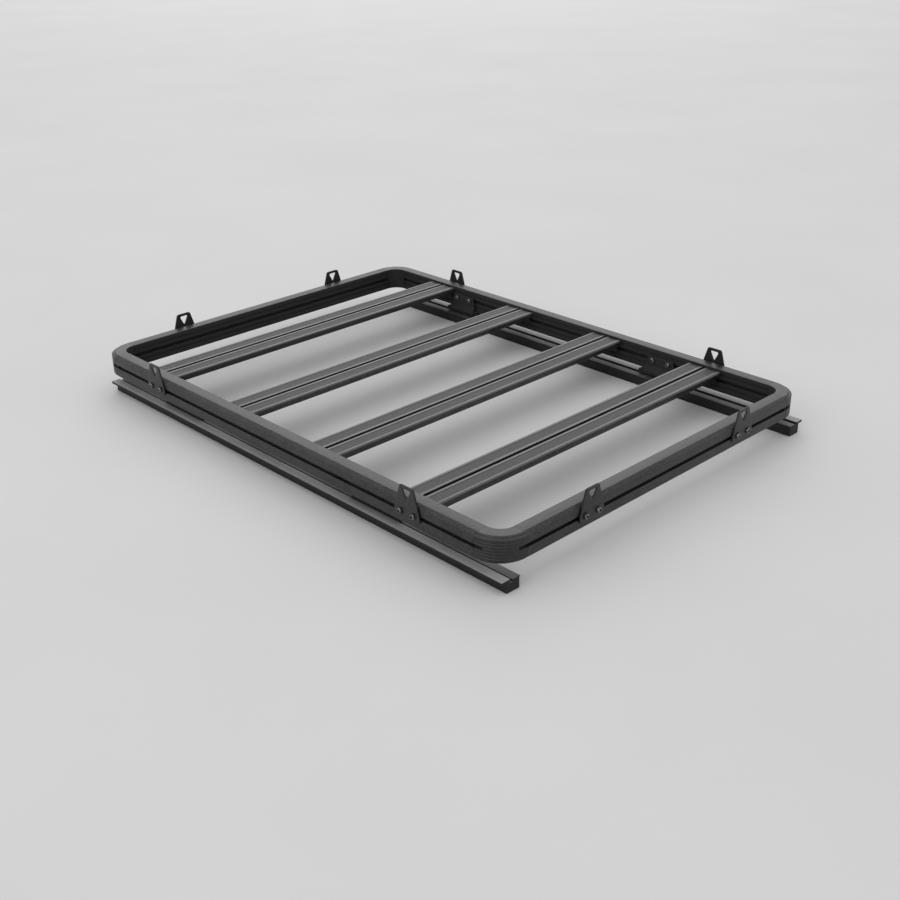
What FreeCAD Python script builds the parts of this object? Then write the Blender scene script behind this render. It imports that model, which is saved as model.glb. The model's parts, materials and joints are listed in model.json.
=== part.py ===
"""Platform rack for the roof of a pickup bed cap.

A slotted perimeter frame with cast corners carries four cross rails.  Tie-down eyes are bolted to
the outer slot, and feet bolted to the inner slot stand on two mounting tracks.
Millimetres, +Z up, +Y towards the cab, origin under the middle of the rack on the tracks' underside.
"""
import FreeCAD
import Part
import math
import os

V = FreeCAD.Vector
ORIGIN = V(0, 0, 0)
UP = V(0, 0, 1)

# Perimeter frame
OPENING_WIDTH = 980.0  # clear width between the side rails
OPENING_LENGTH = 1394.0  # clear length between the end rails
RAIL_WIDTH = 47.0
RAIL_HEIGHT = 60.0
RAIL_WALL = 2.8
RAIL_TOP_FLAT = 30.5  # level part of the rail's top, from the inner face
RAIL_SLOPE_DROP = 15.5  # fall of the sloped upper outer face
RAIL_SIDE_DROP = 48.5  # lower edge of the upright outer face, below the top
RAIL_BOTTOM_FLAT = 32.0  # level part of the underside, from the inner face
RAIL_EDGE_RADIUS = 1.5
RAIL_GROOVE_TOP = 10.5  # shallow groove under the inner top lip, mirrored below the inner slot
RAIL_GROOVE_HEIGHT = 5.5
RAIL_GROOVE_DEPTH = 2.2
CORNER_INNER_RADIUS = 8.0
CORNER_JOINT = 0.2  # hairline between a rail's end and the corner

# T-slots of the perimeter rails
SLOT_OPENING = 8.5
SLOT_LIP = 3.0
SLOT_CHAMBER_WIDTH = 15.0
SLOT_CHAMBER_DEPTH = 6.5
SLOT_MOUTH = 0.8  # chamfer along the slot's edges
OUTER_SLOT_DROP = 22.3  # slot's middle below the frame's top
INNER_SLOT_DROP = 29.0

# Corner castings
SPIGOT_LENGTH = 45.0
SPIGOT_CLEARANCE = 0.3
CORNER_GROOVE_DEPTH = 1.0
CORNER_GROOVE_WIDTH = 2.2
CORNER_SIDE_GROOVES = 5
CORNER_SLOPE_GROOVES = 2

# Cross rails
CROSS_RAIL_COUNT = 4
FRONT_BAY = 213.0  # front rail's inner face to the middle of the first cross rail
REAR_BAY = 223.0  # rear rail's inner face to the middle of the last cross rail
CROSS_RAIL_WIDTH = 100.0
CROSS_RAIL_HEIGHT = 15.5
CROSS_RAIL_DROP = 5.0  # top of the cross rail below the frame's top
CROSS_RAIL_WALL = 2.2
CROSS_RAIL_EDGE_RADIUS = 6.0
CROSS_RAIL_BEAD = 7.0  # raised strip beside the top slot
CROSS_RAIL_RIM = 10.0  # raised strip along each edge
CROSS_RAIL_PANEL_DEPTH = 0.8  # sunk panel between bead and rim
CROSS_RAIL_PANEL_BEVEL = 1.6  # sideways run of the panel's sloped edges
CROSS_RAIL_END_GAP = 0.3
TOP_SLOT_LIP = 2.5
TOP_SLOT_CHAMBER_DEPTH = 6.0
UNDER_SLOT_OPENING = 6.6
UNDER_SLOT_LIP = 2.5
UNDER_SLOT_CHAMBER_WIDTH = 11.5
UNDER_SLOT_CHAMBER_DEPTH = 4.5
UNDER_SLOT_OFFSET = 29.0  # under slots to each side of the middle

# Angle brackets under the cross rails' ends
BRACKET_LENGTH = 80.0
BRACKET_THICKNESS = 3.0
BRACKET_REACH = 32.0
BRACKET_DEPTH = 20.0
BRACKET_BOLT_SPACING = 32.0
BRACKET_BOLT_REACH = 19.0  # upright bolts from the rail's inner face
BRACKET_HOLE_RADIUS = 3.3
BRACKET_BEND_RADIUS = 2.0

# Tie-down eyes
TIE_DOWN_SIDE_SETBACK = 229.0  # eyes on the side rails, from the opening's ends
TIE_DOWN_END_SETBACK = 223.0  # eyes on the end rails, from the opening's sides
TIE_DOWN_THICKNESS = 4.0
TIE_DOWN_BASE_WIDTH = 80.0
TIE_DOWN_TOP_WIDTH = 36.0
TIE_DOWN_RISE = 36.0  # top of the eye above the frame's top
TIE_DOWN_DROP = 37.0  # foot of the plate below the frame's top
TIE_DOWN_SHOULDER_DROP = 18.0
TIE_DOWN_BEND_DROP = 12.0
TIE_DOWN_LEAN = 9.5  # degrees that the upper part leans inwards
TIE_DOWN_BOLT_SPACING = 43.0
TIE_DOWN_HOLE_RADIUS = 4.3
TIE_DOWN_CORNER_RADIUS = 7.0
EYE_BAR = 8.5  # plate left above the eye
EYE_HEIGHT = 27.0
EYE_WIDTH = 24.0
EYE_TOP_RADIUS = 4.5
EYE_FOOT_RADIUS = 3.5

# Mounting tracks
TRACK_FRONT_INSET = 24.0  # track's front end inside the frame's front
TRACK_REAR_INSET = 4.0
TRACK_WIDTH = 40.0
TRACK_HEIGHT = 20.0
TRACK_OFFSET = 8.0  # track's middle outside the side rail's inner face
TRACK_SLOT_OPENING = 10.0
TRACK_LIP = 3.0
TRACK_CHAMBER_WIDTH = 25.0
TRACK_CHAMBER_DEPTH = 11.0
TRACK_EDGE_RADIUS = 2.0
TRACK_HOLE_RADIUS = 4.5
TRACK_HOLE_SETBACKS = (97.0, 497.0)  # roof bolts, from the opening's ends

# Feet
STANDOFF = 30.0  # clear height between the tracks and the frame
FRONT_FOOT_SETBACK = 305.0  # middle of a front foot, from the opening's front end
REAR_FOOT_SETBACK = 360.0
FOOT_TOP_WIDTH = 80.0
FOOT_BASE_WIDTH = 108.0
FOOT_PLATE = 6.0
FOOT_TOP_RISE = 10.0  # plate above the middle of the inner slot
FOOT_INNER_REACH = 15.0  # base inside the rail's inner face
FOOT_OUTER_REACH = 27.0
FOOT_FLANGE = 10.0
FOOT_SHOULDER_HEIGHT = 22.0
FOOT_SHOULDER_RISE = 14.0
FOOT_CORNER_RADIUS = 8.0
FOOT_RAIL_BOLT_SPACING = 50.0
FOOT_TRACK_BOLT_SPACING = 64.0
FOOT_HOLE_RADIUS = 4.3

# Levels and half sizes that follow
FRAME_BOTTOM = TRACK_HEIGHT + STANDOFF
FRAME_TOP = FRAME_BOTTOM + RAIL_HEIGHT
HALF_WIDTH = OPENING_WIDTH / 2
HALF_LENGTH = OPENING_LENGTH / 2
CROSS_RAIL_TOP = FRAME_TOP - CROSS_RAIL_DROP
CROSS_RAIL_BOTTOM = CROSS_RAIL_TOP - CROSS_RAIL_HEIGHT
OUTER_SLOT_Z = FRAME_TOP - OUTER_SLOT_DROP
INNER_SLOT_Z = FRAME_TOP - INNER_SLOT_DROP
OVERSHOOT = 2.0  # cutters reach this far past the faces they open

# Each side is built facing +X and turned about the middle of the rack
SIDE_TURN = {"right": 0, "front": 90, "left": 180, "rear": 270}
SIDE_REACH = {"right": HALF_WIDTH, "front": HALF_LENGTH, "left": HALF_WIDTH, "rear": HALF_LENGTH}
SIDE_SPAN = {"right": HALF_LENGTH, "front": HALF_WIDTH, "left": HALF_LENGTH, "rear": HALF_WIDTH}
SIDE_ENDS = {
    "right": ("front", "rear"),
    "front": ("left", "right"),
    "left": ("rear", "front"),
    "rear": ("right", "left"),
}


def xz(a, b):
    """Point of a section drawn across a piece that runs along Y."""
    return V(a, 0, b)


def yz(a, b):
    """Point of an outline drawn on a plate that faces X."""
    return V(0, a, b)


def wire(corners, plane=xz):
    """Closed wire through corners (a, b, radius), each rounded by an arc of its radius."""
    points = [plane(a, b) for a, b, radius in corners]
    stretches = []
    for index, (a, b, radius) in enumerate(corners):
        here = points[index]
        if radius == 0:
            stretches.append([here])
            continue
        back = (points[index - 1] - here).normalize()
        ahead = (points[(index + 1) % len(points)] - here).normalize()
        half_angle = back.getAngle(ahead) / 2
        trim = radius / math.tan(half_angle)
        middle = here + (back + ahead).normalize() * (radius / math.sin(half_angle) - radius)
        stretches.append([here + back * trim, middle, here + ahead * trim])
    edges = []
    for index, stretch in enumerate(stretches):
        if len(stretch) == 3:
            edges.append(Part.Arc(*stretch).toShape())
        start = stretch[-1]
        end = stretches[(index + 1) % len(stretches)][0]
        if start.distanceToPoint(end) > 1e-6:
            edges.append(Part.LineSegment(start, end).toShape())
    return Part.Wire(edges)


def face(corners, plane=xz):
    """Flat face inside a closed outline of corners."""
    return Part.Face(wire(corners, plane))


def box_corners(a0, a1, b0, b1, radius=0.0):
    """Corners of a rectangle, all with one radius."""
    return [(a0, b0, radius), (a1, b0, radius), (a1, b1, radius), (a0, b1, radius)]


def bar(section, length):
    """Section face in XZ drawn out along Y, centred."""
    shape = section.extrude(V(0, length, 0))
    shape.translate(V(0, -length / 2, 0))
    return shape.Solids[0]


def t_slot(place, opening, lip, chamber_width, chamber_depth):
    """Section of a T-slot; place maps (depth, sideways) to the section's plane."""
    floor = lip + chamber_depth
    half = opening / 2
    wide = chamber_width / 2
    flare = half + SLOT_MOUTH + OVERSHOOT
    path = [(-OVERSHOOT, -flare), (SLOT_MOUTH, -half), (lip, -half), (lip, -wide), (floor, -wide)]
    path += [(depth, -side) for depth, side in reversed(path)]
    return face([(*place(depth, side), 0.0) for depth, side in path])


def drill(centre, axis, radius, length):
    """Cylinder of one length centred on a point along an axis."""
    return Part.makeCylinder(radius, length, centre - axis * (length / 2), axis)


def on_side(shape, side):
    """Turn a piece built on the +X side to the side of the rack that it belongs to."""
    turned = shape.copy()
    turned.rotate(ORIGIN, UP, SIDE_TURN[side])
    return turned


# Perimeter rails

def rail_outline():
    """Outer outline of the rail; u outwards from the inner face, v up from the frame's top."""
    r = RAIL_EDGE_RADIUS
    return [
        (0, -RAIL_HEIGHT, r),
        (RAIL_BOTTOM_FLAT, -RAIL_HEIGHT, r),
        (RAIL_WIDTH, -RAIL_SIDE_DROP, r),
        (RAIL_WIDTH, -RAIL_SLOPE_DROP, r),
        (RAIL_TOP_FLAT, 0, 2 * r),
        (0, 0, r),
    ]


def groove_levels():
    """Bottom and top of the two grooves in the inner face, mirrored about the inner slot."""
    top = -RAIL_GROOVE_TOP
    bottom = top - RAIL_GROOVE_HEIGHT
    mirror = -2 * INNER_SLOT_DROP
    return [(bottom, top), (mirror - top, mirror - bottom)]


def rail_hollow():
    """Closed chamber one wall inside the outline and one wall clear of the slots and grooves."""
    wall = RAIL_WALL
    depth = SLOT_LIP + SLOT_CHAMBER_DEPTH + wall
    half = SLOT_CHAMBER_WIDTH / 2 + wall
    inside = face([(u, v, 0) for u, v, radius in rail_outline()]).makeOffset2D(-wall, 2)
    kept = [
        box_corners(0, depth, -INNER_SLOT_DROP - half, -INNER_SLOT_DROP + half),
        box_corners(RAIL_WIDTH - depth, RAIL_WIDTH, -OUTER_SLOT_DROP - half, -OUTER_SLOT_DROP + half),
    ]
    for bottom, top in groove_levels():
        kept.append(box_corners(0, RAIL_GROOVE_DEPTH + wall, bottom - wall, top + wall))
    return inside.cut([face(corners) for corners in kept])


def rail_section():
    """Rail section with its outer and inner T-slot, inner grooves and hollow."""
    slot = (SLOT_OPENING, SLOT_LIP, SLOT_CHAMBER_WIDTH, SLOT_CHAMBER_DEPTH)
    cuts = [
        rail_hollow(),
        t_slot(lambda d, s: (RAIL_WIDTH - d, s - OUTER_SLOT_DROP), *slot),
        t_slot(lambda d, s: (d, s - INNER_SLOT_DROP), *slot),
    ]
    for bottom, top in groove_levels():
        cuts.append(face(box_corners(-OVERSHOOT, RAIL_GROOVE_DEPTH, bottom, top)))
    return face(rail_outline()).cut(cuts)


def rail(side):
    """One perimeter rail between two corners."""
    length = 2 * (SIDE_SPAN[side] - CORNER_INNER_RADIUS - CORNER_JOINT)
    shape = bar(rail_section(), length)
    shape.translate(V(SIDE_REACH[side], 0, FRAME_TOP))
    return on_side(shape, side)


# Corner castings

def fine_grooves(start, end, count):
    """V-grooves spread evenly along a straight stretch of the corner's outline."""
    run = end - start
    along = V(run).normalize()
    outward = along.cross(V(0, 1, 0))
    cutters = []
    for index in range(count):
        middle = start + run * ((index + 1) / (count + 1))
        rim = middle + outward * CORNER_GROOVE_DEPTH
        points = [rim - along * CORNER_GROOVE_WIDTH, rim + along * CORNER_GROOVE_WIDTH]
        points.append(middle - outward * CORNER_GROOVE_DEPTH)
        cutters.append(Part.Face(Part.makePolygon(points + points[:1])))
    return cutters


def corner_section():
    """Rail outline without slots, finely grooved round its slope and upright outer face."""
    crest = xz(RAIL_TOP_FLAT, 0)
    shoulder = xz(RAIL_WIDTH, -RAIL_SLOPE_DROP)
    skirt = xz(RAIL_WIDTH, -RAIL_SIDE_DROP)
    cutters = fine_grooves(crest, shoulder, CORNER_SLOPE_GROOVES)
    cutters += fine_grooves(shoulder, skirt, CORNER_SIDE_GROOVES)
    return face(rail_outline()).cut(cutters)


def corner():
    """Corner with a spigot for each rail, its centre of turn at the origin."""
    section = corner_section()
    section.translate(V(CORNER_INNER_RADIUS, 0, 0))
    body = section.revolve(ORIGIN, UP, 90).Solids[0]
    depth = SLOT_LIP + SLOT_CHAMBER_DEPTH + RAIL_WALL + SPIGOT_CLEARANCE
    inner = CORNER_INNER_RADIUS + depth
    outer = CORNER_INNER_RADIUS + RAIL_WIDTH - depth
    bottom = -RAIL_SIDE_DROP
    top = -OUTER_SLOT_DROP + SLOT_CHAMBER_WIDTH / 2
    spigot = Part.makeBox(outer - inner, SPIGOT_LENGTH, top - bottom, V(inner, -SPIGOT_LENGTH, bottom))
    other = spigot.mirror(ORIGIN, V(1, -1, 0).normalize())
    return body.fuse([spigot, other]).removeSplitter()


def corner_at(shape, turn):
    """Place a corner; turn 0 is at +X +Y and each quarter turn moves to the next corner."""
    placed = shape.copy()
    placed.rotate(ORIGIN, UP, turn)
    reach = V(HALF_WIDTH - CORNER_INNER_RADIUS, HALF_LENGTH - CORNER_INNER_RADIUS, FRAME_TOP)
    heading = math.radians(turn + 45)
    sign_x = math.copysign(1, math.cos(heading))
    sign_y = math.copysign(1, math.sin(heading))
    placed.translate(V(sign_x * reach.x, sign_y * reach.y, reach.z))
    return placed


# Cross rails

def cross_rail_hollow(hand):
    """Closed chamber to one side of the top slot, arched over the under slot."""
    wall = CROSS_RAIL_WALL
    near = SLOT_CHAMBER_WIDTH / 2 + wall
    far = CROSS_RAIL_WIDTH / 2 - wall
    bottom = wall - CROSS_RAIL_HEIGHT
    arch_half = UNDER_SLOT_CHAMBER_WIDTH / 2 + wall
    arch_top = -CROSS_RAIL_HEIGHT + UNDER_SLOT_LIP + UNDER_SLOT_CHAMBER_DEPTH + wall
    corner_radius = CROSS_RAIL_EDGE_RADIUS - wall
    top = -CROSS_RAIL_PANEL_DEPTH - wall
    return face([
        (hand * near, bottom, 0),
        (hand * (UNDER_SLOT_OFFSET - arch_half), bottom, 0),
        (hand * (UNDER_SLOT_OFFSET - arch_half), arch_top, 0),
        (hand * (UNDER_SLOT_OFFSET + arch_half), arch_top, 0),
        (hand * (UNDER_SLOT_OFFSET + arch_half), bottom, 0),
        (hand * far, bottom, 0),
        (hand * far, top, corner_radius),
        (hand * near, top, 0),
    ])


def cross_rail_panel(hand):
    """Shallow sunk panel between the bead beside the top slot and the rim."""
    near = SLOT_OPENING / 2 + CROSS_RAIL_BEAD
    far = CROSS_RAIL_WIDTH / 2 - CROSS_RAIL_RIM
    depth = CROSS_RAIL_PANEL_DEPTH
    bevel = CROSS_RAIL_PANEL_BEVEL
    return face([
        (hand * (near - bevel), depth, 0),
        (hand * (far + bevel), depth, 0),
        (hand * (far - bevel), -depth, 0),
        (hand * (near + bevel), -depth, 0),
    ])


def cross_rail_section():
    """Wide hollow section with a T-slot along its top and two along its underside."""
    half = CROSS_RAIL_WIDTH / 2
    outside = face([
        (-half, -CROSS_RAIL_HEIGHT, RAIL_EDGE_RADIUS),
        (half, -CROSS_RAIL_HEIGHT, RAIL_EDGE_RADIUS),
        (half, 0, CROSS_RAIL_EDGE_RADIUS),
        (-half, 0, CROSS_RAIL_EDGE_RADIUS),
    ])
    top = (SLOT_OPENING, TOP_SLOT_LIP, SLOT_CHAMBER_WIDTH, TOP_SLOT_CHAMBER_DEPTH)
    under = (UNDER_SLOT_OPENING, UNDER_SLOT_LIP, UNDER_SLOT_CHAMBER_WIDTH, UNDER_SLOT_CHAMBER_DEPTH)
    cuts = [t_slot(lambda d, s: (s, -d), *top)]
    for hand in (-1, 1):
        offset = hand * UNDER_SLOT_OFFSET
        cuts.append(t_slot(lambda d, s, at=offset: (at + s, d - CROSS_RAIL_HEIGHT), *under))
        cuts.append(cross_rail_hollow(hand))
        cuts.append(cross_rail_panel(hand))
    return outside.cut(cuts)


def cross_rail(y):
    """One cross rail from side rail to side rail."""
    shape = bar(cross_rail_section(), OPENING_WIDTH - 2 * CROSS_RAIL_END_GAP)
    shape.rotate(ORIGIN, UP, 90)
    shape.translate(V(0, y, CROSS_RAIL_TOP))
    return shape


def bracket():
    """Angle under a cross rail's end, bolted to the inner slot and to the two under slots."""
    t = BRACKET_THICKNESS
    top = CROSS_RAIL_BOTTOM
    section = face([
        (HALF_WIDTH, top, 0),
        (HALF_WIDTH - BRACKET_REACH, top, 0),
        (HALF_WIDTH - BRACKET_REACH, top - t, 0),
        (HALF_WIDTH - t, top - t, BRACKET_BEND_RADIUS),
        (HALF_WIDTH - t, top - BRACKET_DEPTH, 0),
        (HALF_WIDTH, top - BRACKET_DEPTH, 0),
    ])
    cutters = []
    for hand in (-1, 1):
        side_bolt = V(HALF_WIDTH, hand * BRACKET_BOLT_SPACING / 2, INNER_SLOT_Z)
        upright = V(HALF_WIDTH - BRACKET_BOLT_REACH, hand * UNDER_SLOT_OFFSET, top)
        cutters.append(drill(side_bolt, V(1, 0, 0), BRACKET_HOLE_RADIUS, 4 * t))
        cutters.append(drill(upright, UP, BRACKET_HOLE_RADIUS, 4 * t))
    return bar(section, BRACKET_LENGTH).cut(cutters)


# Tie-down eyes

def tie_down_blank():
    """Plate against the rail's outer face, its upper part leaning in over the rail."""
    lean = math.tan(math.radians(TIE_DOWN_LEAN))
    inset = (TIE_DOWN_RISE + TIE_DOWN_BEND_DROP) * lean
    section = face([
        (0, -TIE_DOWN_DROP, 0),
        (TIE_DOWN_THICKNESS, -TIE_DOWN_DROP, 0),
        (TIE_DOWN_THICKNESS, -TIE_DOWN_BEND_DROP, 2 * TIE_DOWN_THICKNESS),
        (TIE_DOWN_THICKNESS - inset, TIE_DOWN_RISE, 0),
        (-inset, TIE_DOWN_RISE, 0),
        (0, -TIE_DOWN_BEND_DROP, TIE_DOWN_THICKNESS),
    ])
    blank = bar(section, TIE_DOWN_BASE_WIDTH)
    blank.translate(V(0, 0, FRAME_TOP))
    return blank


def tie_down():
    """Tie-down plate whose outer rail face lies at x = 0, its middle at y = 0."""
    base = TIE_DOWN_BASE_WIDTH / 2
    top = TIE_DOWN_TOP_WIDTH / 2
    r = TIE_DOWN_CORNER_RADIUS
    front = face([
        (-base, FRAME_TOP - TIE_DOWN_DROP, r / 2),
        (base, FRAME_TOP - TIE_DOWN_DROP, r / 2),
        (base, FRAME_TOP - TIE_DOWN_SHOULDER_DROP, r),
        (top, FRAME_TOP + TIE_DOWN_RISE, r),
        (-top, FRAME_TOP + TIE_DOWN_RISE, r),
        (-base, FRAME_TOP - TIE_DOWN_SHOULDER_DROP, r),
    ], yz)
    eye_top = FRAME_TOP + TIE_DOWN_RISE - EYE_BAR
    eye = face([
        (0, eye_top - EYE_HEIGHT, EYE_FOOT_RADIUS),
        (EYE_WIDTH / 2, eye_top, EYE_TOP_RADIUS),
        (-EYE_WIDTH / 2, eye_top, EYE_TOP_RADIUS),
    ], yz)
    reach = 2 * RAIL_WIDTH
    start = V(-reach / 2, 0, 0)
    outline = front.extrude(V(reach, 0, 0))
    outline.translate(start)
    opening = eye.extrude(V(reach, 0, 0))
    opening.translate(start)
    cutters = [opening]
    for hand in (-1, 1):
        bolt = V(0, hand * TIE_DOWN_BOLT_SPACING / 2, OUTER_SLOT_Z)
        cutters.append(drill(bolt, V(1, 0, 0), TIE_DOWN_HOLE_RADIUS, 4 * TIE_DOWN_THICKNESS))
    return tie_down_blank().common(outline).cut(cutters)


# Mounting tracks

def track():
    """Mounting track under the right side rail, slotted on top and drilled through its floor."""
    half = TRACK_WIDTH / 2
    outside = face([
        (-half, 0, 0),
        (half, 0, 0),
        (half, TRACK_HEIGHT, TRACK_EDGE_RADIUS),
        (-half, TRACK_HEIGHT, TRACK_EDGE_RADIUS),
    ])
    slot = (TRACK_SLOT_OPENING, TRACK_LIP, TRACK_CHAMBER_WIDTH, TRACK_CHAMBER_DEPTH)
    section = outside.cut(t_slot(lambda d, s: (s, TRACK_HEIGHT - d), *slot))
    front = HALF_LENGTH + RAIL_WIDTH - TRACK_FRONT_INSET
    rear = HALF_LENGTH + RAIL_WIDTH - TRACK_REAR_INSET
    shape = bar(section, front + rear)
    shape.translate(V(0, (front - rear) / 2, 0))
    holes = []
    for setback in TRACK_HOLE_SETBACKS:
        for hand in (-1, 1):
            hole = V(0, hand * (HALF_LENGTH - setback), 0)
            holes.append(drill(hole, UP, TRACK_HOLE_RADIUS, 2 * TRACK_HEIGHT))
    shape = shape.cut(holes)
    shape.translate(V(HALF_WIDTH + TRACK_OFFSET, 0, 0))
    return shape


# Feet

def foot_section():
    """Section of the cast foot: a plate on the rail's inner face over a base on the track."""
    base_top = TRACK_HEIGHT + FOOT_SHOULDER_HEIGHT
    plate_top = INNER_SLOT_Z + FOOT_TOP_RISE
    return face([
        (HALF_WIDTH, plate_top, 0),
        (HALF_WIDTH - FOOT_PLATE, plate_top, 2),
        (HALF_WIDTH - FOOT_PLATE, base_top + FOOT_SHOULDER_RISE, 4),
        (HALF_WIDTH - FOOT_INNER_REACH, base_top, 4),
        (HALF_WIDTH - FOOT_INNER_REACH, TRACK_HEIGHT, 0),
        (HALF_WIDTH + FOOT_OUTER_REACH, TRACK_HEIGHT, 0),
        (HALF_WIDTH + FOOT_OUTER_REACH, TRACK_HEIGHT + FOOT_FLANGE, 2),
        (HALF_WIDTH, TRACK_HEIGHT + FOOT_FLANGE, 1),
    ])


def foot():
    """Foot on the right side, its middle at y = 0."""
    top = FOOT_TOP_WIDTH / 2
    base = FOOT_BASE_WIDTH / 2
    r = FOOT_CORNER_RADIUS
    base_top = TRACK_HEIGHT + FOOT_SHOULDER_HEIGHT
    outline = face([
        (-base, TRACK_HEIGHT, 0),
        (base, TRACK_HEIGHT, 0),
        (base, base_top, r),
        (top, base_top + FOOT_SHOULDER_RISE, r),
        (top, INNER_SLOT_Z + FOOT_TOP_RISE, r),
        (-top, INNER_SLOT_Z + FOOT_TOP_RISE, r),
        (-top, base_top + FOOT_SHOULDER_RISE, r),
        (-base, base_top, r),
    ], yz)
    reach = FOOT_INNER_REACH + FOOT_OUTER_REACH
    mask = outline.extrude(V(2 * reach, 0, 0))
    mask.translate(V(HALF_WIDTH - reach, 0, 0))
    cutters = []
    for hand in (-1, 1):
        rail_bolt = V(HALF_WIDTH, hand * FOOT_RAIL_BOLT_SPACING / 2, INNER_SLOT_Z)
        track_bolt = V(HALF_WIDTH + TRACK_OFFSET, hand * FOOT_TRACK_BOLT_SPACING / 2, TRACK_HEIGHT)
        cutters.append(drill(rail_bolt, V(1, 0, 0), FOOT_HOLE_RADIUS, 4 * FOOT_PLATE))
        cutters.append(drill(track_bolt, UP, FOOT_HOLE_RADIUS, 4 * FOOT_FLANGE))
    return bar(foot_section(), FOOT_BASE_WIDTH).common(mask).cut(cutters)


def moved(shape, x, y):
    """Copy of a piece shifted in plan."""
    copy = shape.copy()
    copy.translate(V(x, y, 0))
    return copy


def mirrored(shape):
    """Copy of a piece on the other side of the rack's middle plane."""
    return shape.mirror(ORIGIN, V(1, 0, 0))


def cross_rail_places():
    """Y of each cross rail from the front to the rear."""
    first = HALF_LENGTH - FRONT_BAY
    last = REAR_BAY - HALF_LENGTH
    step = (last - first) / (CROSS_RAIL_COUNT - 1)
    return [first + index * step for index in range(CROSS_RAIL_COUNT)]


def build():
    """All pieces of the rack by name."""
    nodes = {}
    for side in SIDE_TURN:
        name = f"{side}_side_rail" if side in ("left", "right") else f"{side}_rail"
        nodes[name] = rail(side)
    corner_piece = corner()
    for turn, name in ((0, "front_right"), (90, "front_left"), (180, "rear_left"), (270, "rear_right")):
        nodes[f"{name}_corner"] = corner_at(corner_piece, turn)
    end_bracket = bracket()
    for number, y in enumerate(cross_rail_places(), start=1):
        nodes[f"cross_rail_{number}"] = cross_rail(y)
        placed = moved(end_bracket, 0, y)
        nodes[f"cross_rail_{number}_right_bracket"] = placed
        nodes[f"cross_rail_{number}_left_bracket"] = mirrored(placed)
    eye = tie_down()
    for side in SIDE_TURN:
        setback = TIE_DOWN_SIDE_SETBACK if side in ("left", "right") else TIE_DOWN_END_SETBACK
        along = SIDE_SPAN[side] - setback
        for end, hand in zip(SIDE_ENDS[side], (1, -1)):
            placed = moved(eye, SIDE_REACH[side] + RAIL_WIDTH, hand * along)
            nodes[f"{side}_tie_down_{end}"] = on_side(placed, side)
    nodes["right_mounting_track"] = track()
    nodes["left_mounting_track"] = mirrored(nodes["right_mounting_track"])
    rail_foot = foot()
    foot_places = {"front": HALF_LENGTH - FRONT_FOOT_SETBACK, "rear": REAR_FOOT_SETBACK - HALF_LENGTH}
    for end, y in foot_places.items():
        placed = moved(rail_foot, 0, y)
        nodes[f"{end}_right_foot"] = placed
        nodes[f"{end}_left_foot"] = mirrored(placed)
    return nodes


def main():
    """Write one file for each piece."""
    os.makedirs("parts", exist_ok=True)
    for name, shape in build().items():
        shape.exportStep(f"parts/{name}.step")


if __name__ == "__main__":
    main()
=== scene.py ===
"""Finishes and fittings of a slotted platform rack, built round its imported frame.

Metres, +Z up, +Y forward, origin under the middle of the rack on the underside of its tracks.
"""

import json
import logging
import math
from dataclasses import dataclass
from enum import Enum
from typing import Any, Mapping, Optional, Sequence, Union

import bpy
import numpy as np
from mathutils import Matrix, Vector


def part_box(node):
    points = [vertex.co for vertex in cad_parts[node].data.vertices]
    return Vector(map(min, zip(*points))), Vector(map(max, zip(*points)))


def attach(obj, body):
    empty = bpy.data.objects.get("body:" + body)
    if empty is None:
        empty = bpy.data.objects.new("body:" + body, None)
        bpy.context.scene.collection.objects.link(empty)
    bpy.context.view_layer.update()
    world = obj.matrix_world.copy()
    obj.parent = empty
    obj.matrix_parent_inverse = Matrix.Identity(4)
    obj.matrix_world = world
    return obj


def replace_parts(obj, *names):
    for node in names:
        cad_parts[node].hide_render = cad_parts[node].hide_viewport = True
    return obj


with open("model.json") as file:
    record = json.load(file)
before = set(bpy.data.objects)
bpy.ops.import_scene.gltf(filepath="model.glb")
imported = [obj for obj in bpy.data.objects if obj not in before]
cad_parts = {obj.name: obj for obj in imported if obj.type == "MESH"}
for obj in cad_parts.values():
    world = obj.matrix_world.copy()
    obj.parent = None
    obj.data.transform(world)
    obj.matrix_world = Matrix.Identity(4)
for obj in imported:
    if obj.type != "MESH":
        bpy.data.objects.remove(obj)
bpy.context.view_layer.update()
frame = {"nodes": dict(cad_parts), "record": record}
log = logging.getLogger("rack")

MM = 0.001
BODY = "root"
QUARTER = math.pi / 2
SHARP_EDGE = math.radians(38)
SOFT, FINE = 2.0, 3.0
UP = np.array([0.0, 0.0, 1.0])
Span = tuple[float, float]
Triple = tuple[float, float, float]
Value = Union["Socket", float, Sequence[float]]


class Side(Enum):
    """Side of the rack, with the direction that it faces."""

    LEFT = (-1, 0, 0)
    RIGHT = (1, 0, 0)
    FRONT = (0, 1, 0)
    REAR = (0, -1, 0)

    @property
    def word(self) -> str:
        """Name of the side, as its pieces' names have it."""
        return self.name.lower()

    @property
    def sideways(self) -> bool:
        """Whether this is the left or the right side."""
        return self in (Side.LEFT, Side.RIGHT)

    @property
    def rail(self) -> str:
        """Name of the side's rail."""
        return f"{self.word}_side_rail" if self.sideways else f"{self.word}_rail"

    @property
    def outward(self) -> np.ndarray:
        """Unit vector away from the rack."""
        return np.array(self.value, float)

    @property
    def along(self) -> np.ndarray:
        """Unit vector along the side's rail, a quarter turn anticlockwise from outward."""
        return np.array([-self.value[1], self.value[0], 0], float)

    @property
    def basis(self) -> np.ndarray:
        """Rows for outwards, along the rail and up."""
        return np.vstack([self.outward, self.along, UP])


class Draw(Enum):
    """Direction in which a bar was drawn, as the scales that stretch a pattern along it."""

    ALONG_X = (0.004, 1.0, 1.0)
    ALONG_Y = (1.0, 0.004, 1.0)
    CAST = (1.0, 1.0, 1.0)


# Shader sheets

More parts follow.
